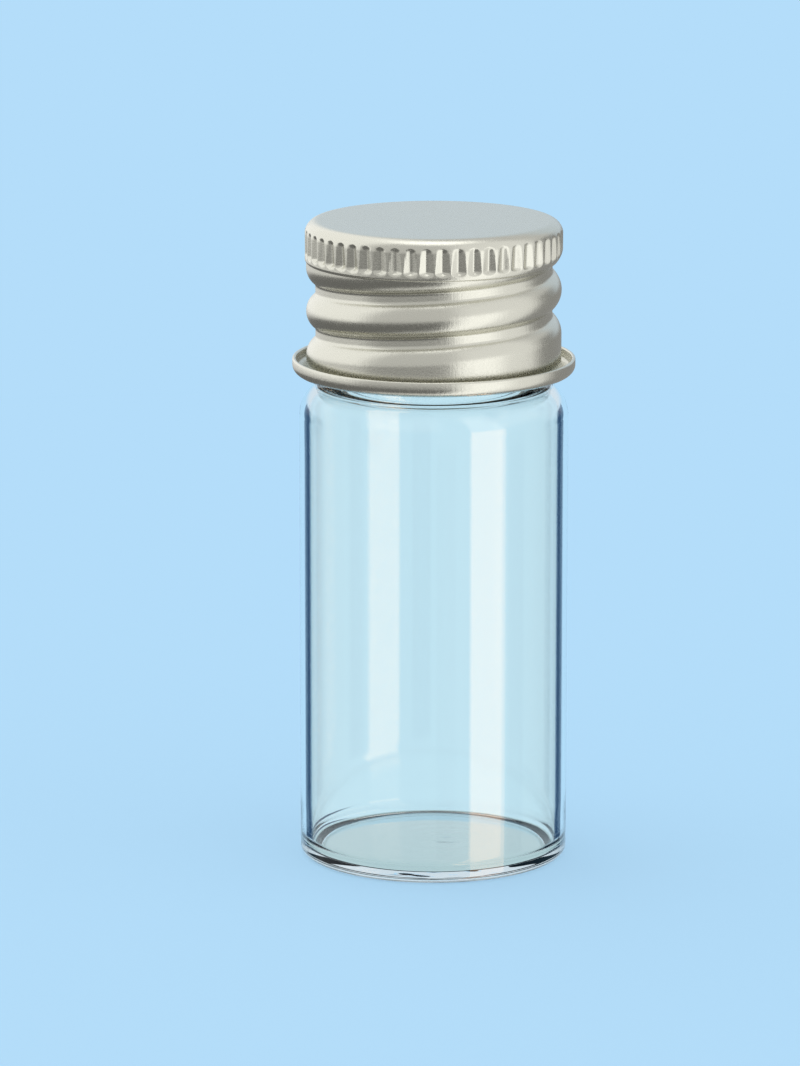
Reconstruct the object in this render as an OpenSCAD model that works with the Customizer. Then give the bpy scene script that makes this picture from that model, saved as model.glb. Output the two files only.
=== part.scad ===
// Glass sample vial with a rolled aluminium screw cap and a sealing liner.
// Millimetres, +Z up, origin on the vial's axis in the plane that it stands on.

/* [Glass body] */
// Overall height of the glass, base to rim
glass_h = 51; // [48:0.5:60]
// Outside diameter of the tube
body_d = 22; // [21.5:0.1:26]
// Wall thickness of the tube
wall_t = 0.8; // [0.6:0.05:1.2]
// Gap between the cap's foot and the top of the shoulder
shoulder_gap = 0.65; // [0.3:0.05:4]
// Outside radius of the shoulder
shoulder_r = 2.8; // [2.2:0.1:3.2]

/* [Glass base] */
// Thickness of the glass over the resting ring
base_t = 0.75; // [0.5:0.05:1.5]
// Outside radius of the heel
heel_r = 0.7; // [0.4:0.05:1.2]
// Inside radius of the heel
inner_heel_r = 1.2; // [0.8:0.1:2]
// Width of the flat ring that the vial stands on
foot_w = 0.7; // [0.4:0.1:1.5]
// Height of the hollow pushed up under the base
push_up = 0.35; // [0.2:0.05:0.8]

/* [Glass neck] */
// Outside diameter of the neck, at the root of its thread
neck_d = 18.3; // [17.2:0.1:19.2]
// Diameter of the bore through the neck
bore_d = 15.4; // [14:0.1:16]
// Radius of the fillet from the shoulder to the neck
neck_fillet_r = 0.6; // [0.4:0.1:0.9]
// Radius of the bend from the neck's bore to the shoulder
inner_bend_r = 1.2; // [0.8:0.1:1.6]
// Radius of both edges of the fire-polished rim
rim_r = 0.45; // [0.3:0.05:0.5]

/* [Thread] */
// Height of the glass thread over the neck
thread_h = 0.75; // [0.6:0.05:0.85]
// Height that one full turn climbs
pitch = 3.6; // [3.3:0.05:3.9]
// Radius of the corner between the floor of the cap's groove and the bulge beside it
corner_r = 0.28; // [0.2:0.02:0.4]
// Width of the groove's flat floor
groove_floor = 0.5; // [0.3:0.05:0.6]
// Gap between the glass thread and the cap
thread_gap = 0.2; // [0.15:0.01:0.25]
// Turns of the glass thread at its full height
glass_turns = 0.85; // [0.6:0.05:1]
// Turns of the cap's groove at its full depth
cap_turns = 1.5; // [1.2:0.05:1.6]
// Part of a turn over which each thread end runs out
run_out = 0.2; // [0.15:0.01:0.25]

/* [Cap] */
// Overall height of the cap
cap_h = 12.45; // [12:0.05:13]
// Thickness of the aluminium sheet
sheet_t = 0.3; // [0.2:0.02:0.3]
// Radius of the edge between the cap's top and its side
cap_edge_r = 1.1; // [0.8:0.05:1.3]
// How far the groove's floor at its upper end lies below the cap's top
groove_drop = 3.9; // [3.8:0.05:4]
// How far the curled hem reaches out from the skirt
hem_reach = 1.15; // [1:0.05:1.5]
// Height of the curled hem
hem_h = 1.3; // [1.2:0.05:1.5]

/* [Knurl] */
// Number of flutes round the cap
flutes = 51; // [40:1:54]
// Radius of a flute's rounded bottom
flute_r = 0.2; // [0.1:0.02:0.3]
// Angle at which a flute's walls leave the band
flute_slope = 32; // [28:1:40]
// Depth of a flute
flute_depth = 0.3; // [0.2:0.01:0.35]
// Height of a flute at its full depth
flute_h = 1.8; // [1.4:0.1:2]
// How far the knurled band stands proud of the skirt
band_step = 0.1; // [0.05:0.01:0.15]

/* [Liner] */
// Thickness of the sealing liner
liner_t = 1.5; // [1.2:0.1:1.8]
// Gap between the sealing liner and the backs of the flutes
liner_gap = 0.4; // [0.1:0.05:0.6]
// Chamfer round the liner's two edges
liner_chamfer = 0.3; // [0.2:0.05:0.4]

/* [Hidden] */
$fn = 96;

// Steps of a drawn arc and of a small edge, and the thread rings' steps round and rows up
arc_steps = 10;
edge_steps = 6;
glass_ring_steps = 60;
cap_ring_steps = 72;
ring_rows = 26;
back_rows = 16;

// Glass radii
body_r = body_d / 2;
tube_r = body_r - wall_t;
neck_r = neck_d / 2;
bore_r = bore_d / 2;
neck_wall = neck_r - bore_r;
rim_edge_r = min(rim_r, 0.45 * neck_wall);
thread_r = neck_r + thread_h;
shoulder_axis_r = body_r - shoulder_r;
inner_shoulder_r = shoulder_r - wall_t;
foot_outer_r = body_r - heel_r;
foot_inner_r = foot_outer_r - foot_w;

// Cap, from the glass outwards and from the liner upwards
skirt_r = thread_r + thread_gap + sheet_t;
groove_r = neck_r + thread_gap + sheet_t;
band_r = skirt_r + band_step;
hem_r = skirt_r + hem_reach;
cap_top = glass_h + liner_t + sheet_t;
cap_foot = cap_top - cap_h;
hem_inner_r = (hem_reach - sheet_t) / 2;
hem_z = cap_foot + hem_inner_r + sheet_t;
hem_axis_r = skirt_r + hem_inner_r;
hem_lip_z = cap_foot + hem_h - sheet_t / 2;

// The shoulder starts to turn in here, so that its top stays clear of the cap
shoulder_z = cap_foot - shoulder_gap - shoulder_r;

// Knurl: a flute's walls leave its round bottom at wall_x. Inside the cap each flute is a bump, and two
// neighbouring bumps leave bump_gap between them
flute_floor_r = band_r - flute_depth;
flute_axis_r = flute_floor_r + flute_r;
flute_top_z = cap_top - cap_edge_r + flute_depth / 2;
flute_foot_z = flute_top_z - flute_h;
band_foot_z = flute_foot_z - flute_depth - 2 * band_step;
wall_x = flute_axis_r - flute_r * cos(flute_slope);
mouth_over = 0.05;
cut_over = 0.1;
bump_gap = 0.06;
bump_r = (2 * PI * band_r / flutes - bump_gap) / 2;
bump_axis_r = flute_floor_r - sheet_t + bump_r;
liner_r = flute_floor_r - sheet_t - liner_gap;

// The groove's floor lies at groove_z + pitch * angle / 360. The bulge is what its two corners leave
groove_z = cap_top - groove_drop;
groove_depth = skirt_r - groove_r;
groove_from = -360 * (cap_turns + run_out);
groove_to = 360 * run_out;
groove_reach = (pitch - groove_floor) / 2;
bulge_r = (groove_reach ^ 2 + groove_depth ^ 2) / (2 * groove_depth) - corner_r;
turns_down = ceil(cap_turns + run_out);

// The ring of sheet that holds the rolled thread, between the knurled band and the hem
ring_top_z = band_foot_z;
ring_rise = 0.2;
ring_foot_z = hem_z + ring_rise;
ring_fade = 0.6;
seam_inset = 0.1;
seam_lap = 0.1;

// The glass thread lies half a pitch lower and ends at the angle thread_to
thread_z = groove_z - pitch / 2;
thread_bulge_r = bulge_r - sheet_t - thread_gap;
thread_axis_r = thread_r - thread_bulge_r;
thread_to = 120;
thread_from = thread_to - 360 * (glass_turns + 2 * run_out);

// The ring of glass that carries the thread, let into the neck by the seat
thread_foot_z = thread_z + pitch * thread_from / 360 - thread_bulge_r;
thread_top_z = thread_z + pitch * thread_to / 360 + thread_bulge_r;
thread_seat = min(0.3, neck_wall / 4);

function arc(c, r, from, to, steps = arc_steps) =
    [for (i = [0 : steps]) let (a = from + (to - from) * i / steps) c + r * [cos(a), sin(a)]];

// Height of the point at radius r above the centre of a circle of radius big, centred at axis radius c
function rise(r, c, big) = sqrt(big * big - (r - c) * (r - c));

// Angle from point a to point b
function bearing(a, b) = atan2(b[1] - a[1], b[0] - a[0]);

// A smooth step from 0 at share 0 to 1 at share 1
function smooth(share) = let (t = max(0, min(1, share))) t * t * (3 - 2 * t);

// Share of the full section that a thread keeps at an angle, with a smooth run-out at each end
function run(a, from, to) = smooth(min(a - from, to - a) / (360 * run_out));

// A ring of material between two faces, each a function of angle and height, on a grid of points. It
// laps into what it joins at both ends, where its first and last rows lie inside the faces by the insets
module sleeve(foot_z, top_z, steps, rows, inner_rows, outer_r, inner_r, insets) {
    loop_n = rows + inner_rows + 2;
    function side(angle, k, last, face_r, inset) =
        let (z = foot_z - seam_lap + (top_z - foot_z + 2 * seam_lap) * k / last,
             r = face_r(angle, z) + (k == 0 || k == last ? inset : 0))
        [r * cos(angle), r * sin(angle), z];
    points = [for (i = [0 : steps - 1]) let (a = 360 * i / steps - 180) each concat(
        [for (k = [0 : rows]) side(a, k, rows, outer_r, -insets[0])],
        [for (k = [inner_rows : -1 : 0]) side(a, k, inner_rows, inner_r, insets[1])])];
    faces = [for (i = [0 : steps - 1]) let (n = (i + 1) % steps)
        for (j = [0 : loop_n - 1]) let (k = (j + 1) % loop_n)
            each [[i * loop_n + j, i * loop_n + k, n * loop_n + k],
                  [i * loop_n + j, n * loop_n + k, n * loop_n + j]]];
    polyhedron(points, faces, convexity = 6);
}

// How deep a groove of the given depth cuts at a height u from its middle: a flat floor, a corner arc
// and the bulge's arc. The sheet's inner face is the same outline moved inwards by shift
function groove_cut(u, depth, shift) =
    let (v = abs(u) - groove_floor / 2,
         sum_r = bulge_r + corner_r,
         reach = sqrt(2 * sum_r * depth - depth * depth),
         turn = (corner_r + shift) * reach / sum_r,
         big_r = bulge_r - shift)
    v <= 0 ? depth :
    v < turn ? depth - corner_r - shift + sqrt((corner_r + shift) ^ 2 - v * v) :
    v < reach ? big_r - sqrt(big_r * big_r - (reach - v) ^ 2) : 0;

// The cut at an angle and height, from whichever turn of the groove is nearest
function thread_cut(angle, z, shift) =
    max([for (turn = [-turns_down : 0])
        let (a = angle + 360 * turn, u = z - groove_z - pitch * a / 360)
        groove_cut(u, groove_depth * run(a, groove_from, groove_to), shift)]);

// How far the glass thread stands out of the neck at an angle and height: a round section on a helix
function thread_rise(angle, z) =
    max([for (turn = [-turns_down : 0])
        let (a = angle + 360 * turn,
             u = z - thread_z - pitch * a / 360,
             crest = thread_axis_r + sqrt(max(0, thread_bulge_r ^ 2 - u * u)))
        max(0, crest - neck_r) * run(a, thread_from, thread_to)]);

module glass_vial() {
    outer_fillet = [neck_r + neck_fillet_r,
        shoulder_z + rise(neck_r + neck_fillet_r, shoulder_axis_r, shoulder_r + neck_fillet_r)];
    outer_turn = bearing([shoulder_axis_r, shoulder_z], outer_fillet);
    inner_bend = [bore_r + inner_bend_r,
        shoulder_z + rise(bore_r + inner_bend_r, shoulder_axis_r, inner_shoulder_r + inner_bend_r)];
    inner_turn = bearing([shoulder_axis_r, shoulder_z], inner_bend);
    outside = concat(
        [[foot_inner_r, 0]],
        arc([foot_outer_r, heel_r], heel_r, 270, 360),
        arc([shoulder_axis_r, shoulder_z], shoulder_r, 0, outer_turn),
        arc(outer_fillet, neck_fillet_r, outer_turn + 180, 180),
        [[neck_r, thread_foot_z], [neck_r - thread_seat, thread_foot_z],
         [neck_r - thread_seat, thread_top_z], [neck_r, thread_top_z]],
        arc([neck_r - rim_edge_r, glass_h - rim_edge_r], rim_edge_r, 0, 90));
    inside = concat(
        arc([bore_r + rim_edge_r, glass_h - rim_edge_r], rim_edge_r, 90, 180),
        arc(inner_bend, inner_bend_r, 180, 180 + inner_turn),
        arc([shoulder_axis_r, shoulder_z], inner_shoulder_r, inner_turn, 0),
        arc([tube_r - inner_heel_r, base_t + inner_heel_r], inner_heel_r, 0, -90),
        [[0, base_t + push_up]]);
    color([0.78, 0.89, 0.94, 0.4]) {
        rotate_extrude() polygon(concat(outside, inside, [[0, push_up]]));
        sleeve(thread_foot_z, thread_top_z, glass_ring_steps, ring_rows, 1,
            function(angle, z) neck_r + thread_rise(angle, z),
            function(angle, z) neck_r - 2 * thread_seat, [seam_inset, 0]);
    }
}

module cap_liner() {
    edge_r = liner_r - liner_chamfer;
    color("whitesmoke")
        translate([0, 0, glass_h])
            rotate_extrude() polygon([
                [0, 0], [edge_r, 0], [liner_r, liner_chamfer],
                [liner_r, liner_t - liner_chamfer], [edge_r, liner_t], [0, liner_t]]);
}

module screw_cap() {
    color("silver") {
        cap_top_part();
        thread_ring();
        cap_hem();
    }
}

// The cap's flat top and the knurled band: a dished sheet with flutes pressed in from outside, which
// stand out as bumps inside
module cap_top_part() {
    inner_r = band_r - sheet_t;
    edge_c = [band_r - cap_edge_r, flute_top_z];
    difference() {
        union() {
            rotate_extrude() polygon(concat(
                [[0, cap_top]],
                arc(edge_c, cap_edge_r, 90, 0, edge_steps),
                [[band_r, ring_top_z + band_step], [skirt_r, ring_top_z],
                 [skirt_r - sheet_t, ring_top_z], [inner_r, ring_top_z + band_step]],
                arc(edge_c, cap_edge_r - sheet_t, 0, 90, edge_steps),
                [[0, cap_top - sheet_t]]));
            translate([0, 0, flute_foot_z - flute_depth])
                linear_extrude(flute_h + 2 * flute_depth) intersection() {
                    round_the_cap() translate([bump_axis_r, 0]) circle(r = bump_r, $fn = 24);
                    circle(r = band_r - sheet_t / 2);
                }
        }
        intersection() {
            translate([0, 0, ring_top_z]) linear_extrude(cap_h) round_the_cap() flute_section();
            flute_limits();
        }
    }
}

// One copy for each flute, with a land between two of them at the front
module round_the_cap() {
    for (i = [0 : flutes - 1])
        rotate(360 * (i + 0.5) / flutes - 90) children();
}

// A flute seen from above: a round bottom and two flat walls that open outwards
module flute_section() {
    mouth_x = band_r + mouth_over;
    mouth_y = flute_r * sin(flute_slope) + (mouth_x - wall_x) / tan(flute_slope);
    polygon(concat(
        arc([flute_axis_r, 0], flute_r, 180 - flute_slope, 180 + flute_slope, edge_steps),
        [[mouth_x, -mouth_y], [mouth_x, mouth_y]]));
}

// The ring within which the flutes cut: its ends slope at 45 degrees, so each flute runs out to the band
module flute_limits() {
    floor_r = flute_floor_r - cut_over;
    reach = cap_edge_r + flute_depth;
    rotate_extrude() polygon([
        [floor_r, flute_foot_z + cut_over], [floor_r + reach, flute_foot_z + cut_over - reach],
        [floor_r + reach, flute_top_z - cut_over + reach], [floor_r, flute_top_z - cut_over]]);
}

// The rolled thread: a ring of sheet whose two faces follow the groove, which fades out at both ends
module thread_ring() {
    function fade(z) = smooth(min(ring_top_z - z, z - ring_foot_z) / ring_fade);
    sleeve(ring_foot_z, ring_top_z, cap_ring_steps, ring_rows, back_rows,
        function(angle, z) skirt_r - fade(z) * thread_cut(angle, z, 0),
        function(angle, z) skirt_r - sheet_t - fade(z) * thread_cut(angle, z, sheet_t),
        [seam_inset, seam_inset + band_step / 2]);
}

// The skirt's foot, curled outwards and up into a hem
module cap_hem() {
    lip_r = sheet_t / 2;
    rotate_extrude() polygon(concat(
        [[skirt_r - sheet_t, ring_foot_z], [skirt_r, ring_foot_z]],
        arc([hem_axis_r, hem_z], hem_inner_r, 180, 360),
        arc([hem_r - lip_r, hem_lip_z], lip_r, 180, 0, edge_steps),
        arc([hem_axis_r, hem_z], hem_inner_r + sheet_t, 360, 180)));
}

glass_vial();
cap_liner();
screw_cap();
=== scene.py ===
import math

import bpy
import numpy as np
from mathutils import Matrix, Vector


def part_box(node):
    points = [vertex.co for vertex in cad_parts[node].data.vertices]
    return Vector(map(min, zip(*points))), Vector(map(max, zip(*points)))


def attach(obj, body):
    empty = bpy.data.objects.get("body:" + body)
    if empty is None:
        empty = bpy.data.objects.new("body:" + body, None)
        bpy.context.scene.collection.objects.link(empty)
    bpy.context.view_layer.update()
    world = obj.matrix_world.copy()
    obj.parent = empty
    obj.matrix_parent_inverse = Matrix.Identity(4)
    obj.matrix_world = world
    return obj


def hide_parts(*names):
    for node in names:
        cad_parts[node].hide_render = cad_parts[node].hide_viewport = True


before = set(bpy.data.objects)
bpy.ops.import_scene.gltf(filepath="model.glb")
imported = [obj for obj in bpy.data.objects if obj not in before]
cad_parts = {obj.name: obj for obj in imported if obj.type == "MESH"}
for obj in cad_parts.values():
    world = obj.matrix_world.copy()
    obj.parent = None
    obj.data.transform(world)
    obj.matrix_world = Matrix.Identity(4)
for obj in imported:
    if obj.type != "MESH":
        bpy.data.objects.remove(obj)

bl_info = {
    "name": "Glass sample vial",
    "version": (1, 0, 0),
    "blender": (4, 5, 0),
    "location": "View3D > Sidebar > Vial",
    "description": "Builds a glass sample vial with a rolled aluminium screw cap around its CAD frame",
    "category": "Object",
}

MM = 0.001
_, GLASS_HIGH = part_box("glass_vial")
CAP_LOW, CAP_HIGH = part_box("screw_cap")
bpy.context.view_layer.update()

# How finely the drawn pieces are divided: columns round them and rows up them
GLASS_COLUMNS = 288
BASE_ROWS = 40
NECK_ROWS = 70
BAND_ROWS = 26
SKIRT_ROWS = 112
INSIDE_ROWS = 35

# A length that is nothing beside any size here, and a radius outside everything
HAIR = MM / 1000
FAR_OUT = 1.0

# Stage: how far the floor and the vial's shadow reach, what divides the discs, and how low the mat lies
FLOOR_REACH = 4.0
SHADOW_REACH = 0.4
FLOOR_SIDES = 64
MAT_SIDES = 96
MAT_DROP = 0.02 * MM

# Camera: its place, how many degrees it looks down, its lens and sensor in millimetres, and its far limit
CAMERA_PLACE = (-2.76 * MM, -473.1 * MM, 130.7 * MM)
CAMERA_DOWN = 12.377
CAMERA_LENS = 199.17
CAMERA_SENSOR = 36.0
CAMERA_FAR = 100.0


# Sizes and colours that a user would change

class VialGlassSizes(bpy.types.PropertyGroup):
    """Sizes of the glass body"""
    height: bpy.props.FloatProperty(
        name="Height", description="From the ring it stands on to the rim",
        default=GLASS_HIGH.z, unit="LENGTH")
    radius: bpy.props.FloatProperty(
        name="Radius", description="Outside radius of the tube", default=GLASS_HIGH.x, unit="LENGTH")
    wall: bpy.props.FloatProperty(
        name="Wall", description="Thickness of the tube's wall", default=0.8 * MM, unit="LENGTH")
    shoulder_z: bpy.props.FloatProperty(
        name="Shoulder height", description="Where the tube starts to turn in",
        default=36.9 * MM, unit="LENGTH")
    shoulder_r: bpy.props.FloatProperty(
        name="Shoulder radius", description="Outside radius of the shoulder",
        default=2.8 * MM, unit="LENGTH")
    base: bpy.props.FloatProperty(
        name="Base", description="Thickness of the glass over the resting ring",
        default=0.75 * MM, unit="LENGTH")
    heel_r: bpy.props.FloatProperty(
        name="Heel radius", description="Outside radius of the heel", default=0.7 * MM, unit="LENGTH")
    inner_heel_r: bpy.props.FloatProperty(
        name="Inner heel radius", description="Inside radius of the heel",
        default=1.2 * MM, unit="LENGTH")
    foot: bpy.props.FloatProperty(
        name="Foot", description="Width of the ring that the vial stands on",
        default=0.7 * MM, unit="LENGTH")
    push_up: bpy.props.FloatProperty(
        name="Push-up", description="Height of the hollow under the base",
        default=0.35 * MM, unit="LENGTH")
    neck_r: bpy.props.FloatProperty(
        name="Neck radius", description="Outside radius at the root of the thread",
        default=9.15 * MM, unit="LENGTH")
    bore_r: bpy.props.FloatProperty(
        name="Bore radius", description="Radius of the bore through the neck",
        default=7.7 * MM, unit="LENGTH")
    neck_fillet: bpy.props.FloatProperty(
        name="Neck fillet", description="Radius from the shoulder to the neck",
        default=1.0 * MM, unit="LENGTH")
    inner_bend: bpy.props.FloatProperty(
        name="Inner bend", description="Radius from the bore to the shoulder",
        default=1.2 * MM, unit="LENGTH")
    rim_r: bpy.props.FloatProperty(
        name="Rim radius", description="Radius of the rim's two edges", default=0.45 * MM, unit="LENGTH")
    dimple_depth: bpy.props.FloatProperty(
        name="Dimple depth", description="Depth of the mark that the tool leaves in the base",
        default=0.03 * MM, unit="LENGTH")
    dimple_r: bpy.props.FloatProperty(
        name="Dimple radius", description="Radius of the mark in the base", default=1.7 * MM, unit="LENGTH")
    dimple_x: bpy.props.FloatProperty(
        name="Dimple offset", description="How far the mark lies off the axis",
        default=1.1 * MM, unit="LENGTH")
    ripple: bpy.props.FloatProperty(
        name="Ripple", description="Height of the rings round the mark, as a share of its depth",
        default=0.15)


class VialThreadSizes(bpy.types.PropertyGroup):
    """Sizes of the thread that the glass and the cap share"""
    pitch: bpy.props.FloatProperty(
        name="Pitch", description="Height that one turn climbs", default=3.6 * MM, unit="LENGTH")
    corner_r: bpy.props.FloatProperty(
        name="Corner radius", description="Radius between the groove's floor and the bulge beside it",
        default=0.28 * MM, unit="LENGTH")
    floor: bpy.props.FloatProperty(
        name="Groove floor", description="Width of the groove's flat floor",
        default=0.5 * MM, unit="LENGTH")
    gap: bpy.props.FloatProperty(
        name="Gap", description="Gap between the glass thread and the cap",
        default=0.2 * MM, unit="LENGTH")
    crest_r: bpy.props.FloatProperty(
        name="Crest radius", description="Radius over the crest of the glass thread",
        default=9.9 * MM, unit="LENGTH")
    drop: bpy.props.FloatProperty(
        name="Groove drop", description="From the cap's top to the groove's floor at its upper end",
        default=3.9 * MM, unit="LENGTH")
    cap_turns: bpy.props.FloatProperty(
        name="Cap turns", description="Turns of the groove at its full depth", default=1.5)
    glass_turns: bpy.props.FloatProperty(
        name="Glass turns", description="Turns of the glass thread at its full height", default=0.85)
    glass_end: bpy.props.FloatProperty(
        name="Glass end", description="Bearing in degrees at which the glass thread has run out",
        default=120)
    run_out: bpy.props.FloatProperty(
        name="Run-out", description="Part of a turn over which an end fades", default=0.2)


class VialCapSizes(bpy.types.PropertyGroup):
    """Sizes of the rolled cap"""
    sheet: bpy.props.FloatProperty(
        name="Sheet", description="Thickness of the aluminium sheet", default=0.3 * MM, unit="LENGTH")
    edge_r: bpy.props.FloatProperty(
        name="Edge radius", description="Radius between the top and the side",
        default=1.1 * MM, unit="LENGTH")
    band_step: bpy.props.FloatProperty(
        name="Band step", description="How far the knurled band stands proud",
        default=0.1 * MM, unit="LENGTH")
    band_h: bpy.props.FloatProperty(
        name="Band height", description="From the cap's top to the foot of the knurled band",
        default=3.25 * MM, unit="LENGTH")
    hem_h: bpy.props.FloatProperty(
        name="Hem height", description="Height of the curled hem", default=1.3 * MM, unit="LENGTH")
    flutes: bpy.props.IntProperty(name="Flutes", description="Flutes round the cap", default=51)
    flute_r: bpy.props.FloatProperty(
        name="Flute radius", description="Radius of a flute's rounded bottom",
        default=0.2 * MM, unit="LENGTH")
    flute_slope: bpy.props.FloatProperty(
        name="Flute slope", description="Angle at which a flute's walls leave the band",
        default=math.radians(27), subtype="ANGLE")
    flute_depth: bpy.props.FloatProperty(
        name="Flute depth", description="Depth of a flute", default=0.25 * MM, unit="LENGTH")
    flute_lean: bpy.props.FloatProperty(
        name="Flute lean", description="How much deeper a flute gets with each unit down", default=0.04)
    flute_h: bpy.props.FloatProperty(
        name="Flute height", description="Between the centres of a flute's rounded ends",
        default=1.65 * MM, unit="LENGTH")
    flute_top: bpy.props.FloatProperty(
        name="Flute top", description="How far the upper end's centre lies over the foot of the cap's edge",
        default=0.1 * MM, unit="LENGTH")
    bump_gap: bpy.props.FloatProperty(
        name="Bump gap", description="Gap between the backs of two neighbouring flutes",
        default=0.06 * MM, unit="LENGTH")


class VialColours(bpy.types.PropertyGroup):
    """Colours of the pieces and of the studio"""
    metal: bpy.props.StringProperty(
        name="Metal", description="Warm grey of bare aluminium", default="D3D2C8")
    glass: bpy.props.StringProperty(
        name="Glass", description="Tint of clear tube glass", default="FAFDFC")
    liner: bpy.props.StringProperty(
        name="Liner", description="White of the foamed liner", default="E4E3DC")
    backdrop: bpy.props.StringProperty(
        name="Backdrop", description="Pale blue of the floor and the backdrop", default="B4DDFA")
    through: bpy.props.StringProperty(
        name="Backdrop through glass", description="Paler blue that is seen straight through the glass",
        default="CFEFFF")
    top_glow: bpy.props.StringProperty(
        name="Back light", description="Backdrop washed with white light, which the cap's top mirrors",
        default="D6E3ED")
    slate: bpy.props.StringProperty(
        name="Slate", description="Dark cards beside the backdrop, which line the glass's edges",
        default="1E385F")
    # The mat's colour is given out as a glow: painted light that stands in for a lit surface under the base
    mat: bpy.props.StringProperty(
        name="Mat", description="Pale grey-green of what the base stands on, seen through the glass",
        default="B5D0D6")


# Small helpers: colours, nodes, curves and meshes

def linear(code):
    """An sRGB hex code as a linear colour: each channel through the sRGB curve"""
    channels = [int(code[i:i + 2], 16) / 255 for i in (0, 2, 4)]
    return tuple(c / 12.92 if c <= 0.04045 else ((c + 0.055) / 1.055) ** 2.4 for c in channels) + (1.0,)


def add_node(tree, kind, settings=None, inputs=None):
    """Adds one node: settings are its own values, inputs are socket values or the sockets that feed it"""
    node = tree.nodes.new(kind)
    for key, value in (settings or {}).items():
        setattr(node, key, value)
    for key, value in (inputs or {}).items():
        if isinstance(value, bpy.types.NodeSocket):
            tree.links.new(value, node.inputs[key])
        else:
            node.inputs[key].default_value = value
    return node


def new_material(name):
    """A named material with an empty node tree"""
    material = bpy.data.materials.new(name)
    material.use_nodes = True
    material.node_tree.nodes.clear()
    return material, material.node_tree


def arc(centre, radius, start, end, steps):
    """Points of a circle round a centre in the (radius, height) plane, between two angles in degrees"""
    turn = np.radians(np.linspace(start, end, steps + 1))
    return np.stack([centre[0] + radius * np.cos(turn), centre[1] + radius * np.sin(turn)], 1)


def line(start, end, steps):
    """Evenly spaced points between two points, both left out"""
    share = np.linspace(0, 1, steps + 1)[1:-1, None]
    return np.asarray(start) * (1 - share) + np.asarray(end) * share


def dome(radius, rise, steps):
    """From the top of a shallow dome outwards: height is the rise times 1 less the square of the radius"""
    share = np.linspace(0, 1, steps + 1)
    return np.stack([radius * share, rise * (1 - share ** 2)], 1)


def bearing(a, b):
    """Angle in degrees at which one point of the (radius, height) plane lies from another"""
    return math.degrees(math.atan2(b[1] - a[1], b[0] - a[0]))


def smooth_step(t):
    """0 before 0 and 1 after 1, with 3 times the square less 2 times the cube between them"""
    t = np.clip(t, 0, 1)
    return t * t * (3 - 2 * t)


def ring_points(r, z, angles):
    """Rows of rings: each point at radius r and height z, turned to its angle"""
    return np.stack([r * np.cos(angles), r * np.sin(angles), z + 0 * r], -1)


def ring_faces(first, rows, columns):
    """Two triangles for each cell between neighbouring rings, the last column joined to the first"""
    i, j = np.meshgrid(np.arange(rows - 1), np.arange(columns), indexing="ij")
    n = (j + 1) % columns
    a, b = first + i * columns + j, first + i * columns + n
    c, d = a + columns, b + columns
    return np.concatenate([np.stack([a, c, d], -1), np.stack([a, d, b], -1)]).reshape(-1, 3)


def fan_faces(pole, first, columns, closes):
    """Triangles from a pole to one ring: the first ring, or the last where the fan closes the surface"""
    j = np.arange(columns)
    n = (j + 1) % columns
    fan = np.stack([np.full(columns, pole), first + j, first + n], -1)
    return fan[:, ::-1] if closes else fan


def stitch_faces(fine, coarse, columns):
    """Three triangles for each coarse column, between a ring and one with twice as many columns"""
    j = np.arange(columns)
    n = (j + 1) % columns
    a, m, b = fine + 2 * j, fine + 2 * j + 1, fine + (2 * j + 2) % (2 * columns)
    c, d = coarse + j, coarse + n
    return np.concatenate([np.stack(t, -1) for t in ((a, c, m), (m, c, d), (m, d, b))])


def flat_disc(name, radius, height, sides, material):
    """A round disc that lies flat at a height"""
    turn = np.radians(np.linspace(0, 360, sides, endpoint=False))
    rim = np.stack([radius * np.cos(turn), radius * np.sin(turn), 0 * turn + height], 1)
    mesh = bpy.data.meshes.new(name)
    mesh.from_pydata(rim.tolist(), [], [list(range(sides))])
    mesh.materials.append(material)
    disc = bpy.data.objects.new(name, mesh)
    bpy.context.scene.collection.objects.link(disc)
    return disc


def new_piece(name, points, faces, material):
    """A closed smooth mesh, its faces turned outwards if its signed volume is negative"""
    corners = points[faces]
    volume = np.einsum("ij,ij->i", corners[:, 0], np.cross(corners[:, 1], corners[:, 2])).sum() / 6
    if volume < 0:
        faces = faces[:, ::-1]
    mesh = bpy.data.meshes.new(name)
    mesh.from_pydata(points.tolist(), [], faces.tolist())
    mesh.polygons.foreach_set("use_smooth", np.ones(len(faces), bool))
    mesh.materials.append(material)
    mesh.update()
    piece = bpy.data.objects.new(name, mesh)
    bpy.context.scene.collection.objects.link(piece)
    return piece


# The thread that the glass and the cap share

def thread_frame(scene):
    """Height of the groove's floor at its start, the groove's full depth, and the bulge's radius: what the
    two corners leave of half a pitch"""
    glass, thread = scene.vial_glass, scene.vial_thread
    depth = thread.crest_r - glass.neck_r
    reach = (thread.pitch - thread.floor) / 2
    bulge_r = (reach ** 2 + depth ** 2) / (2 * depth) - thread.corner_r
    return CAP_HIGH.z - thread.drop, depth, bulge_r


def share_of_full(angle, start, end, run_out):
    """How much of its full section a thread keeps: a smooth step from 0 at each end, 0 beyond them"""
    return smooth_step(np.minimum(angle - start, end - angle) / (360 * run_out))


def groove_cut(u, depth, shift, thread, bulge_r):
    """How deep the groove cuts at a height u from its middle: a flat floor, a corner arc, the bulge's arc.
    The shift moves the face inwards by the sheet's thickness"""
    corner = thread.corner_r
    v = np.abs(u) - thread.floor / 2
    total = bulge_r + corner
    reach = np.sqrt(np.maximum(2 * total * depth - depth * depth, 0))
    turn = (corner + shift) * reach / total
    big = bulge_r - shift
    near = depth - corner - shift + np.sqrt(np.maximum((corner + shift) ** 2 - v * v, 0))
    far = big - np.sqrt(np.maximum(big * big - (reach - v) ** 2, 0))
    return np.where(v <= 0, depth, np.where(v < turn, near, np.where(v < reach, far, 0)))


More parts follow.
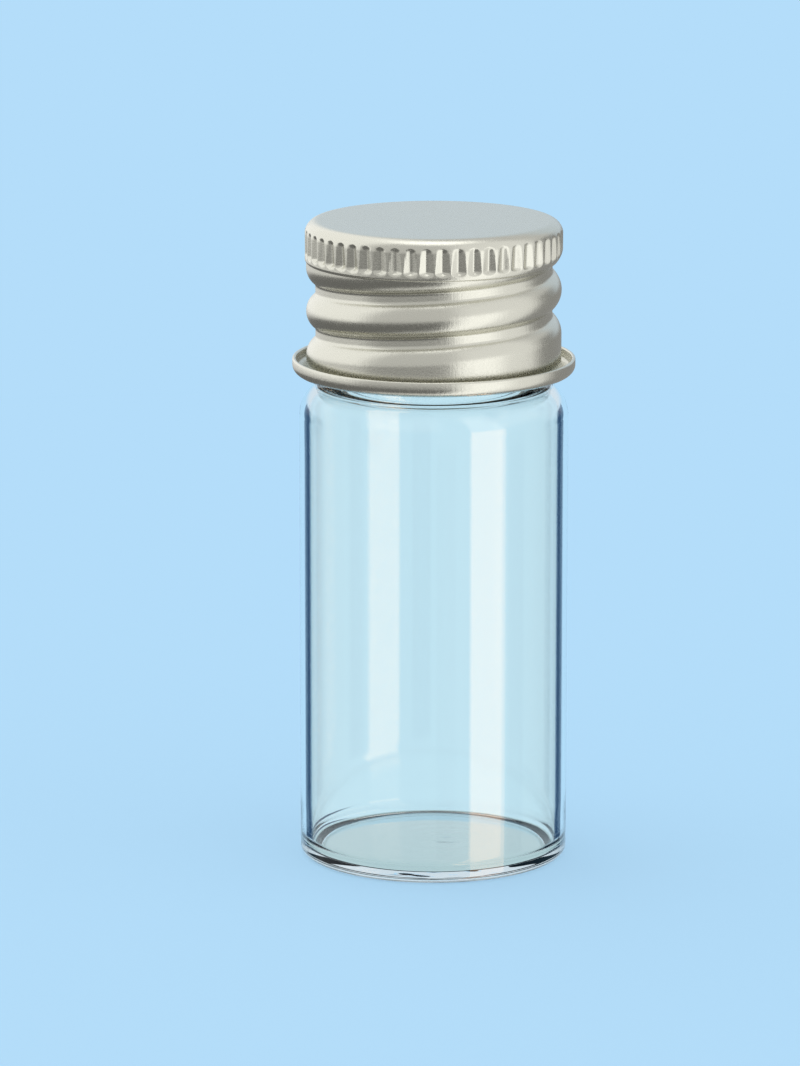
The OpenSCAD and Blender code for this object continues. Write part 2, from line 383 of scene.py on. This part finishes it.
def cap_cut(angle, z, shift):
    """Depth of the rolled groove at an angle and height: the deepest of the turns that pass there"""
    thread = bpy.context.scene.vial_thread
    groove_z, depth, bulge_r = thread_frame(bpy.context.scene)
    start, end = -360 * (thread.cap_turns + thread.run_out), 360 * thread.run_out
    cut = np.zeros(np.broadcast(angle, z).shape)
    for turn in range(-3, 2):
        a = angle + 360 * turn
        share = share_of_full(a, start, end, thread.run_out)
        u = z - groove_z - thread.pitch * a / 360
        cut = np.maximum(cut, np.where(share > 0, groove_cut(u, depth * share, shift, thread, bulge_r), 0))
    return cut


def glass_ridge(angle, z):
    """How far the glass thread stands out of the neck: a round section on a helix half a turn below"""
    scene = bpy.context.scene
    glass, thread, cap = scene.vial_glass, scene.vial_thread, scene.vial_cap
    groove_z, _, bulge_r = thread_frame(scene)
    section_r = bulge_r - cap.sheet - thread.gap
    axis_r = thread.crest_r - section_r
    end = thread.glass_end
    start = end - 360 * (thread.glass_turns + 2 * thread.run_out)
    rise = np.zeros(np.broadcast(angle, z).shape)
    for turn in range(-2, 2):
        a = angle + 360 * turn
        u = z - (groove_z - thread.pitch / 2) - thread.pitch * a / 360
        bump = axis_r + np.sqrt(np.maximum(section_r ** 2 - u * u, 0)) - glass.neck_r
        rise = np.maximum(rise, np.maximum(bump, 0) * share_of_full(a, start, end, thread.run_out))
    return rise


# Materials

def drawn_glass(colours):
    """Clear soda-lime tube glass, drawn and fire-polished: smooth, with faint lines along the draw that
    only bend what is seen through it"""
    material, tree = new_material("drawn_tube_glass")
    place = add_node(tree, "ShaderNodeTexCoord")
    along = add_node(tree, "ShaderNodeMapping", inputs={
        "Vector": place.outputs["Object"], "Scale": (1 / MM, 1 / MM, 0.04 / MM)})
    lines = add_node(tree, "ShaderNodeTexNoise", inputs={
        "Vector": along.outputs["Vector"], "Scale": 0.5, "Detail": 2.0})
    bump = add_node(tree, "ShaderNodeBump", inputs={
        "Height": lines.outputs["Fac"], "Strength": 0.05, "Distance": 0.02 * MM})
    shader = add_node(tree, "ShaderNodeBsdfPrincipled", inputs={
        "Base Color": linear(colours.glass), "Roughness": 0.0, "IOR": 1.5,
        "Transmission Weight": 1.0, "Normal": bump.outputs["Normal"]})
    add_node(tree, "ShaderNodeOutputMaterial", inputs={"Surface": shader.outputs["BSDF"]})
    return material


def rolled_aluminium(colours):
    """Bare aluminium sheet, drawn and rolled to shape: a satin skin with a fine grain and faint upright draw
    marks, which spread each reflection a little"""
    material, tree = new_material("rolled_bare_aluminium")
    place = add_node(tree, "ShaderNodeTexCoord")
    grain_place = add_node(tree, "ShaderNodeMapping", inputs={
        "Vector": place.outputs["Object"], "Scale": (1 / MM, 1 / MM, 1 / MM)})
    grain = add_node(tree, "ShaderNodeTexNoise", inputs={
        "Vector": grain_place.outputs["Vector"], "Scale": 7.0, "Detail": 2.0, "Roughness": 0.6})
    draw_place = add_node(tree, "ShaderNodeMapping", inputs={
        "Vector": place.outputs["Object"], "Scale": (1 / MM, 1 / MM, 0.08 / MM)})
    draw = add_node(tree, "ShaderNodeTexNoise", inputs={
        "Vector": draw_place.outputs["Vector"], "Scale": 4.5, "Detail": 3.0, "Roughness": 0.65})
    height = add_node(tree, "ShaderNodeMix", inputs={
        0: 0.6, 2: grain.outputs["Fac"], 3: draw.outputs["Fac"]})
    bump = add_node(tree, "ShaderNodeBump", inputs={
        "Height": height.outputs[0], "Strength": 0.36, "Distance": 0.035 * MM})
    rough = add_node(tree, "ShaderNodeMapRange", inputs={
        "Value": grain.outputs["Fac"], "From Min": 0.3, "From Max": 0.7, "To Min": 0.2, "To Max": 0.32})
    shader = add_node(tree, "ShaderNodeBsdfPrincipled", inputs={
        "Base Color": linear(colours.metal), "Metallic": 1.0, "Roughness": rough.outputs["Result"],
        "Normal": bump.outputs["Normal"]})
    add_node(tree, "ShaderNodeOutputMaterial", inputs={"Surface": shader.outputs["BSDF"]})
    return material


def foamed_liner(colours):
    """Foamed polyethylene liner, cut from sheet: matte white with fine cells"""
    material, tree = new_material("foamed_polyethylene")
    place = add_node(tree, "ShaderNodeTexCoord")
    cells = add_node(tree, "ShaderNodeTexVoronoi", inputs={
        "Vector": place.outputs["Object"], "Scale": 4 / MM})
    bump = add_node(tree, "ShaderNodeBump", inputs={
        "Height": cells.outputs["Distance"], "Strength": 0.4, "Distance": 0.05 * MM})
    shader = add_node(tree, "ShaderNodeBsdfPrincipled", inputs={
        "Base Color": linear(colours.liner), "Roughness": 0.6, "Normal": bump.outputs["Normal"]})
    add_node(tree, "ShaderNodeOutputMaterial", inputs={"Surface": shader.outputs["BSDF"]})
    return material


# The pieces

class VIAL_OT_glass(bpy.types.Operator):
    """Build the glass body: one closed surface of revolution with its thread and the mark in its base"""
    bl_idname = "vial.glass"
    bl_label = "Glass body"

    def outline(self, g):
        """The section's outline from the middle of the base up the outside, then down inside from the rim"""
        tube_r = g.radius - g.wall
        foot_outer = g.radius - g.heel_r
        foot_inner = foot_outer - g.foot
        axis = (g.radius - g.shoulder_r, g.shoulder_z)
        inner_shoulder = g.shoulder_r - g.wall

        def above(r, big):
            """The point at radius r on a circle round the shoulder's axis, on its upper side"""
            return (r, axis[1] + math.sqrt(big ** 2 - (r - axis[0]) ** 2))

        fillet = above(g.neck_r + g.neck_fillet, g.shoulder_r + g.neck_fillet)
        bend = above(g.bore_r + g.inner_bend, inner_shoulder + g.inner_bend)
        out_turn, in_turn = bearing(axis, fillet), bearing(axis, bend)
        outside = [
            dome(foot_inner, g.push_up, BASE_ROWS),
            arc((foot_outer, g.heel_r), g.heel_r, 270, 360, 12),
            line((g.radius, g.heel_r), (g.radius, g.shoulder_z), 12),
            arc(axis, g.shoulder_r, 0, out_turn, 16),
            arc(fillet, g.neck_fillet, out_turn + 180, 180, 8),
            line((g.neck_r, fillet[1]), (g.neck_r, g.height - g.rim_r), NECK_ROWS),
            arc((g.neck_r - g.rim_r, g.height - g.rim_r), g.rim_r, 0, 90, 8)]
        inside = [
            arc((g.bore_r + g.rim_r, g.height - g.rim_r), g.rim_r, 90, 180, 8),
            arc(bend, g.inner_bend, 180, 180 + in_turn, 12),
            arc(axis, inner_shoulder, in_turn, 0, 14),
            line((tube_r, g.shoulder_z), (tube_r, g.base + g.inner_heel_r), 12),
            arc((tube_r - g.inner_heel_r, g.base + g.inner_heel_r), g.inner_heel_r, 0, -90, 14),
            (dome(tube_r - g.inner_heel_r, g.push_up, BASE_ROWS) + [0, g.base])[-2::-1]]
        return np.concatenate(outside), np.concatenate(inside)

    def execute(self, context):
        scene = context.scene
        g = scene.vial_glass
        outside, inside = self.outline(g)
        outline = np.concatenate([outside, inside])
        columns = GLASS_COLUMNS
        turn = np.linspace(0, 360, columns, endpoint=False)
        r = np.repeat(outline[:, :1], columns, 1)
        z = np.repeat(outline[:, 1:], columns, 1)
        on_neck = (np.arange(len(outline)) < len(outside))[:, None] & (z > g.shoulder_z + g.shoulder_r / 2)
        r = r + np.where(on_neck & (r > g.neck_r - HAIR), glass_ridge(turn[None, :], z), 0)
        points = ring_points(r, z, np.radians(turn)[None, :])
        on_base = (r < g.radius - 2 * g.inner_heel_r) & (z < 3 * g.base)
        points[..., 2] += self.base_mark(points, g) * on_base
        rings = points[1:-1].reshape(-1, 3)
        middle = [points[0].mean(0), points[-1].mean(0)]
        rows = len(outline) - 2
        verts = np.concatenate([rings, middle])
        faces = np.concatenate([
            ring_faces(0, rows, columns),
            fan_faces(len(rings), 0, columns, False),
            fan_faces(len(rings) + 1, (rows - 1) * columns, columns, True)])
        piece = new_piece("glass_body", verts, faces, drawn_glass(scene.vial_colours))
        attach(piece, "vial")
        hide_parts("glass_vial")
        return {"FINISHED"}

    def base_mark(self, points, g):
        """The tool's mark: a round dip off the axis and rings that die away from it"""
        d = np.hypot(points[..., 0] - g.dimple_x, points[..., 1])
        dip = -g.dimple_depth * np.exp(-(d / g.dimple_r) ** 4)
        wave = np.cos(2 * np.pi * d / g.dimple_r) * np.exp(-d / (2 * g.dimple_r))
        return dip + g.ripple * g.dimple_depth * wave


class VIAL_OT_cap(bpy.types.Operator):
    """Build the cap: one closed sheet with its knurl, its rolled thread and its curled hem"""
    bl_idname = "vial.cap"
    bl_label = "Screw cap"

    def flute_top(self, cap):
        """Height of the centre of a flute's upper end"""
        return CAP_HIGH.z - cap.edge_r + cap.flute_top

    def beside(self, angle, z, cap):
        """Distance across the nearest flute, taken at the hem's radius, and distance past the centres of its
        two ends, which counts double at the lower, blunter end"""
        pitch = 360 / cap.flutes
        across = CAP_HIGH.x * np.sin(np.radians((angle + 90) % pitch - pitch / 2))
        top = self.flute_top(cap)
        return across, np.maximum(z - top, 0) + 2 * np.maximum(top - cap.flute_h - z, 0)

    def flute_radius(self, angle, z, cap, band_r):
        """Radius of the nearest flute's wall: a round bottom and a flat wall, by the distance from its line.
        The line leans in on the way down"""
        across, past = self.beside(angle, z, cap)
        off = np.hypot(across * band_r / CAP_HIGH.x, past)
        slope, r = cap.flute_slope, cap.flute_r
        half = cap.flute_h / 2
        down = np.clip(self.flute_top(cap) - half - z, -half, half)
        floor = band_r - cap.flute_depth - cap.flute_lean * down
        bottom = r - np.sqrt(np.maximum(r * r - off * off, 0))
        wall = r * (1 - math.cos(slope)) + (off - r * math.sin(slope)) * math.tan(slope)
        return floor + np.where(off < r * math.sin(slope), bottom, wall)

    def bump_radius(self, angle, z, cap, band_r):
        """Radius of the bump behind a flute: an upright round rod with round ends, seen from the axis"""
        across, past = self.beside(angle, z, cap)
        bump_r = math.pi * band_r / cap.flutes - cap.bump_gap / 2
        axis_r = band_r - cap.flute_depth - cap.flute_lean * cap.flute_h / 2 - cap.sheet + bump_r
        rod = bump_r ** 2 - past ** 2 - (across * axis_r / CAP_HIGH.x) ** 2
        return np.where(rod > 0, axis_r - np.sqrt(np.maximum(rod, 0)), FAR_OUT)

    def outline(self, cap, skirt_r):
        """The sheet's outline in five stretches: the top with its knurled band, the skirt, the hem, the
        skirt's inside, and the underside of the band and the top"""
        band_r = skirt_r + cap.band_step
        top, foot, sheet = CAP_HIGH.z, CAP_LOW.z, cap.sheet
        hem_in = (CAP_HIGH.x - skirt_r - sheet) / 2
        hem = (skirt_r + hem_in, foot + hem_in + sheet)
        lip = (CAP_HIGH.x - sheet / 2, foot + cap.hem_h - sheet / 2)
        edge = (band_r - cap.edge_r, top - cap.edge_r)
        band_foot = top - cap.band_h
        knurl = np.concatenate([
            line((0, top), (edge[0], top), 7), arc(edge, cap.edge_r, 90, 0, 20),
            line((band_r, edge[1]), (band_r, band_foot), BAND_ROWS),
            [[band_r, band_foot]],
            line((band_r, band_foot), (skirt_r, band_foot - cap.band_step), 3)])
        inner = skirt_r - sheet
        under = np.concatenate([
            [[inner, band_foot - cap.band_step]],
            line((inner, band_foot), (band_r - sheet, band_foot), 2),
            line((band_r - sheet, band_foot), (band_r - sheet, edge[1]), 10),
            arc(edge, cap.edge_r - sheet, 0, 90, 8), line((edge[0], top - sheet), (0, top - sheet), 5)])
        outer = np.concatenate([
            [[skirt_r, band_foot - cap.band_step]],
            line((skirt_r, band_foot - cap.band_step), (skirt_r, hem[1]), SKIRT_ROWS)])
        curl = np.concatenate([
            arc(hem, hem_in, 180, 360, 14), arc(lip, sheet / 2, 180, 0, 8),
            arc(hem, hem_in + sheet, 360, 180, 20)])
        inside = line((inner, hem[1]), (inner, band_foot - cap.band_step), INSIDE_ROWS)
        return knurl, outer, curl, inside, under

    def execute(self, context):
        scene = context.scene
        glass, thread, cap = scene.vial_glass, scene.vial_thread, scene.vial_cap
        skirt_r = thread.crest_r + thread.gap + cap.sheet
        groove_r = glass.neck_r + thread.gap + cap.sheet
        band_r = skirt_r + cap.band_step
        knurl, outer, curl, inside, under = self.outline(cap, skirt_r)

        # A flute's columns in shares of the flutes' pitch, closest where its walls meet the band. Only the
        # knurled band has them all, and every other one runs on down the cap
        cells = np.array([-0.5, -0.455, -0.42, -0.37, -0.2, -0.07, 0, 0.07, 0.2, 0.37, 0.42, 0.455])
        flute = np.arange(cap.flutes)[:, None] + 0.5
        fine = ((flute + cells) * 360 / cap.flutes - 90).reshape(-1)
        coarse = fine[::2]

        def rows(outline, turn, shift):
            """Radius and height of an outline's points at each turn, with the groove and the flutes"""
            r = np.repeat(outline[:, :1], len(turn), 1)
            z = np.repeat(outline[:, 1:], len(turn), 1)
            near = (r > groove_r - 2 * cap.sheet) & (z > CAP_LOW.z + cap.hem_h / 2)
            cut = np.where(near, cap_cut(turn[None, :], z, shift), 0)
            r = r - cut * np.maximum(r + shift - groove_r, 0) / (skirt_r - groove_r)
            on_band = z > CAP_HIGH.z - cap.band_h - cap.band_step / 2
            press = self.bump_radius if shift else self.flute_radius
            return np.where(on_band, np.minimum(r, press(turn[None, :], z, cap, band_r)), r), z

        blocks = [
            ring_points(*rows(knurl, fine, 0), np.radians(fine)[None, :]),
            ring_points(*rows(outer, coarse, 0), np.radians(coarse)[None, :]),
            ring_points(np.repeat(curl[:, :1], len(coarse), 1), np.repeat(curl[:, 1:], len(coarse), 1),
                        np.radians(coarse)[None, :]),
            ring_points(*rows(inside, coarse, cap.sheet), np.radians(coarse)[None, :]),
            ring_points(*rows(under, coarse, cap.sheet), np.radians(coarse)[None, :])]
        top = blocks[0].reshape(-1, 3)
        rest = np.concatenate(blocks[1:]).reshape(-1, 3)
        ends = np.array([[0, 0, CAP_HIGH.z], [0, 0, CAP_HIGH.z - cap.sheet]])
        first = len(top)
        rest_rows = len(rest) // len(coarse)
        verts = np.concatenate([top, rest, ends])
        faces = np.concatenate([
            fan_faces(len(verts) - 2, 0, len(fine), False),
            ring_faces(0, len(knurl), len(fine)),
            stitch_faces(first - len(fine), first, len(coarse)),
            ring_faces(first, rest_rows, len(coarse)),
            fan_faces(len(verts) - 1, first + (rest_rows - 1) * len(coarse), len(coarse), True)])
        piece = new_piece("rolled_cap", verts, faces, rolled_aluminium(scene.vial_colours))
        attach(piece, "cap")
        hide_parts("screw_cap")
        return {"FINISHED"}


class VIAL_OT_liner(bpy.types.Operator):
    """Give the CAD liner its foamed material"""
    bl_idname = "vial.liner"
    bl_label = "Liner"

    def execute(self, context):
        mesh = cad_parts["cap_liner"].data
        mesh.materials.clear()
        mesh.materials.append(foamed_liner(context.scene.vial_colours))
        return {"FINISHED"}


# The stage

def studio_world(colours):
    """The studio as a far dome: plain pale blue to the camera, and soft lights, windows of the backdrop
    and dark room to everything else. Satin metal, clear glass and what is seen straight through the glass
    each have a version of it. Directions are degrees: front is 0 towards the camera and rises to the right,
    height is 0 at the horizon. A level or colour over 1 is a lamp"""
    world = bpy.data.worlds.new("studio")
    world.use_nodes = True
    tree = world.node_tree
    tree.nodes.clear()
    direction = add_node(tree, "ShaderNodeTexCoord")
    split = add_node(tree, "ShaderNodeSeparateXYZ", inputs={"Vector": direction.outputs["Generated"]})
    x, y, z = (split.outputs[axis] for axis in "XYZ")

    def maths(operation, a, b=0.0):
        return add_node(tree, "ShaderNodeMath", {"operation": operation}, {0: a, 1: b}).outputs[0]

    flat = maths("SQRT", maths("ADD", maths("MULTIPLY", x, x), maths("MULTIPLY", y, y)))
    front = maths("MULTIPLY", maths("ARCTAN2", x, maths("MULTIPLY", y, -1.0)), 180 / math.pi)
    height = maths("MULTIPLY", maths("ARCTAN2", z, flat), 180 / math.pi)

    def window(value, low, high, soft):
        """1 between low and high, fading to 0 over soft degrees outside them"""
        rise = maths("MINIMUM", maths("DIVIDE", maths("SUBTRACT", value, low - soft), soft), 1.0)
        fall = maths("MINIMUM", maths("DIVIDE", maths("SUBTRACT", high + soft, value), soft), 1.0)
        return maths("MAXIMUM", maths("MINIMUM", rise, fall), 0.0)

    def both(*masks):
        """The product of the masks"""
        mask = masks[0]
        for other in masks[1:]:
            mask = maths("MULTIPLY", mask, other)
        return mask

    def aside(centre):
        """Degrees between a direction and a bearing"""
        turn = maths("ABSOLUTE", maths("SUBTRACT", front, float(centre)))
        return maths("MINIMUM", turn, maths("SUBTRACT", 360.0, turn))

    rays = add_node(tree, "ShaderNodeLightPath")
    backdrop = linear(colours.backdrop)

    def grey(level):
        """A level of light, hardly warmer than white"""
        return (level, level, level * 0.985, 1.0)

    def pick(satin, clear):
        """One colour in the satin metal's reflections, another in the clear glass's"""
        return add_node(tree, "ShaderNodeMix", {"data_type": "RGBA"}, {
            0: rays.outputs["Is Singular Ray"], 6: satin, 7: clear}).outputs[2]

    def lay(base, mask, colour):
        """A colour laid over the base where the mask is 1"""
        return add_node(tree, "ShaderNodeMix", {"data_type": "RGBA"}, {
            0: mask, 6: base, 7: colour}).outputs[2]

    inside = maths("GREATER_THAN", rays.outputs["Transmission Depth"], 0.5)
    outside = maths("SUBTRACT", 1.0, inside)
    slate = linear(colours.slate)
    glow = linear(colours.top_glow)

    # Satin metal: a dim room that is paler over the horizon, the lit floor right below, a dark card behind
    # on the right, and the washed backdrop behind
    satin = lay(grey(0.18), window(height, -4, 90, 12), grey(0.68))
    satin = lay(satin, window(height, -90, -66, 8), grey(0.75))
    satin = lay(satin, both(window(front, 112, 180, 12), window(height, -90, 14, 10)), grey(0.32))
    satin = lay(satin, both(window(aside(180), 0, 36, 12), window(height, 4, 34, 8)), glow)
    # Its lamps: one on the left, two on the right, the nearer of them brighter below, and one overhead
    satin = lay(satin, both(window(front, -162, -74, 16), window(height, -4, 66, 12)), grey(1.2))
    satin = lay(satin, both(window(front, 66, 98, 14), window(height, -80, 60, 10)), grey(1.0))
    satin = lay(satin, both(window(front, 26, 58, 12), window(height, -80, 56, 10)), grey(1.0))
    satin = lay(satin, both(window(front, 26, 58, 12), window(height, -80, 2, 8)), grey(1.45))
    satin = lay(satin, window(height, 78, 90, 14), grey(1.9))

    # Clear glass: a pale floor, a dim room outside the glass, pale upper walls and two pale side walls
    dim, pale = (0.12, 0.25, 0.36, 1.0), (0.46, 0.56, 0.6, 1.0)
    left_wall, right_wall = (0.44, 0.51, 0.57, 1.0), (0.33, 0.41, 0.48, 1.0)
    clear = lay(pale, both(window(height, -34, 90, 12), outside), dim)
    clear = lay(clear, window(height, 22, 90, 14), grey(0.7))
    clear = lay(clear, both(window(front, -118, -66, 12), window(height, -34, 90, 16)), left_wall)
    clear = lay(clear, both(window(front, 12, 31, 14), window(height, -34, 90, 16)), right_wall)
    # Behind it the washed backdrop and, below that, the backdrop itself
    clear = lay(clear, both(window(aside(180), 0, 60, 14), window(height, 4, 42, 8)), glow)
    clear = lay(clear, both(window(aside(180), 0, 34, 3), window(height, -60, 0, 5)), backdrop)
    # The tall lamp in front on the right, weaker and whiter above
    lamp, lamp_top = (3.4, 2.1, 1.25, 1.0), (1.6, 1.35, 1.15, 1.0)
    clear = lay(clear, both(window(front, 33, 63, 1.5), window(height, -70, 58, 4)), lamp_top)
    clear = lay(clear, both(window(front, 33, 63, 1.5), window(height, -70, 6, 6)), lamp)
    room = pick(satin, clear)

    # Straight through the glass: a paler backdrop, between a pair of slate cards for each view that it is
    # seen from. Each entry is the bearing behind the glass and the cards' foot and top
    far = linear(colours.through)
    for centre, foot, top in ((180, -19, 1), (-135, -31, -21), (-90, -9, 2), (45, -20, -10)):
        bar = both(window(aside(centre), 26, 42, 1), window(height, foot, top, 1.5))
        far = lay(far, bar, slate)
        room = lay(room, both(bar, inside), slate)
    straight = both(inside, maths("LESS_THAN", rays.outputs["Glossy Depth"], 0.5))
    seen = lay(room, straight, far)
    shown = add_node(tree, "ShaderNodeMix", {"data_type": "RGBA"}, {
        0: rays.outputs["Is Camera Ray"], 6: seen, 7: backdrop}).outputs[2]
    emit = add_node(tree, "ShaderNodeBackground", inputs={"Color": shown, "Strength": 1.0})
    add_node(tree, "ShaderNodeOutputWorld", inputs={"Surface": emit.outputs["Background"]})
    return world


def pale_floor(colours):
    """Painted pale floor: the backdrop's colour, with the vial's soft shadow near its foot only"""
    material, tree = new_material("matte_painted_floor")
    place = add_node(tree, "ShaderNodeTexCoord")
    far = add_node(tree, "ShaderNodeVectorMath", {"operation": "LENGTH"}, {0: place.outputs["Object"]})
    fade = add_node(tree, "ShaderNodeMapRange", {"interpolation_type": "SMOOTHSTEP"}, {
        "Value": far.outputs["Value"], "From Min": 0.1 * SHADOW_REACH, "From Max": 0.5 * SHADOW_REACH,
        "To Min": 0.35, "To Max": 0.0})
    paint = add_node(tree, "ShaderNodeBsdfDiffuse", inputs={"Color": linear(colours.backdrop)})
    glow = add_node(tree, "ShaderNodeEmission", inputs={"Color": linear(colours.backdrop)})
    mix = add_node(tree, "ShaderNodeMixShader", inputs={
        0: fade.outputs["Result"], 1: glow.outputs["Emission"], 2: paint.outputs["BSDF"]})
    add_node(tree, "ShaderNodeOutputMaterial", inputs={"Surface": mix.outputs["Shader"]})
    return material


def glowing_paper_mat(colours):
    """Pale paper under the base, glowing evenly in its own colour: painted light in place of a lit surface,
    seen only through the glass
    """
    material, tree = new_material("glowing_pale_paper_mat")
    glow = add_node(tree, "ShaderNodeEmission", inputs={"Color": linear(colours.mat)})
    add_node(tree, "ShaderNodeOutputMaterial", inputs={"Surface": glow.outputs["Emission"]})
    return material


class VIAL_OT_stage(bpy.types.Operator):
    """Set the floor, the studio's light and the camera"""
    bl_idname = "vial.stage"
    bl_label = "Stage"

    def execute(self, context):
        scene = context.scene
        colours = scene.vial_colours
        scene.view_settings.view_transform = "Standard"
        scene.cycles.glossy_bounces = 12
        scene.world = studio_world(colours)
        floor = flat_disc("floor", FLOOR_REACH, 0.0, FLOOR_SIDES, pale_floor(colours))
        for kind in ("glossy", "transmission", "shadow"):
            setattr(floor, "visible_" + kind, False)
        # A glowing mat under the base: painted light in place of a lit surface, seen only through the glass
        mat = flat_disc("glowing_base_mat", scene.vial_glass.radius, -MAT_DROP, MAT_SIDES, glowing_paper_mat(colours))
        for kind in ("camera", "glossy", "diffuse", "shadow"):
            setattr(mat, "visible_" + kind, False)
        camera = bpy.data.cameras.new("camera")
        camera.sensor_fit = "VERTICAL"
        camera.sensor_height = CAMERA_SENSOR
        camera.lens = CAMERA_LENS
        camera.clip_end = CAMERA_FAR
        holder = bpy.data.objects.new("camera", camera)
        holder.matrix_world = (Matrix.Translation(CAMERA_PLACE)
                               @ Matrix.Rotation(math.radians(90 - CAMERA_DOWN), 4, "X"))
        scene.collection.objects.link(holder)
        scene.camera = holder
        return {"FINISHED"}


class VIAL_PT_panel(bpy.types.Panel):
    """Lists the pieces and their sizes"""
    bl_label = "Glass sample vial"
    bl_idname = "VIAL_PT_panel"
    bl_space_type = "VIEW_3D"
    bl_region_type = "UI"
    bl_category = "Vial"

    def draw(self, context):
        for group in (context.scene.vial_glass, context.scene.vial_thread,
                      context.scene.vial_cap, context.scene.vial_colours):
            box = self.layout.box()
            for key in group.bl_rna.properties.keys():
                if key not in ("rna_type", "name"):
                    box.prop(group, key)
        for piece in PIECES:
            self.layout.operator(piece.bl_idname)


PIECES = (VIAL_OT_glass, VIAL_OT_liner, VIAL_OT_cap, VIAL_OT_stage)
GROUPS = {"vial_glass": VialGlassSizes, "vial_thread": VialThreadSizes,
          "vial_cap": VialCapSizes, "vial_colours": VialColours}


def register():
    for cls in (*GROUPS.values(), *PIECES, VIAL_PT_panel):
        bpy.utils.register_class(cls)
    for name, cls in GROUPS.items():
        setattr(bpy.types.Scene, name, bpy.props.PointerProperty(type=cls))


def unregister():
    for name in GROUPS:
        delattr(bpy.types.Scene, name)
    for cls in reversed((*GROUPS.values(), *PIECES, VIAL_PT_panel)):
        bpy.utils.unregister_class(cls)


def main():
    register()
    bpy.ops.vial.glass()
    bpy.ops.vial.liner()
    bpy.ops.vial.cap()
    bpy.ops.vial.stage()


if __name__ == "__main__":
    main()
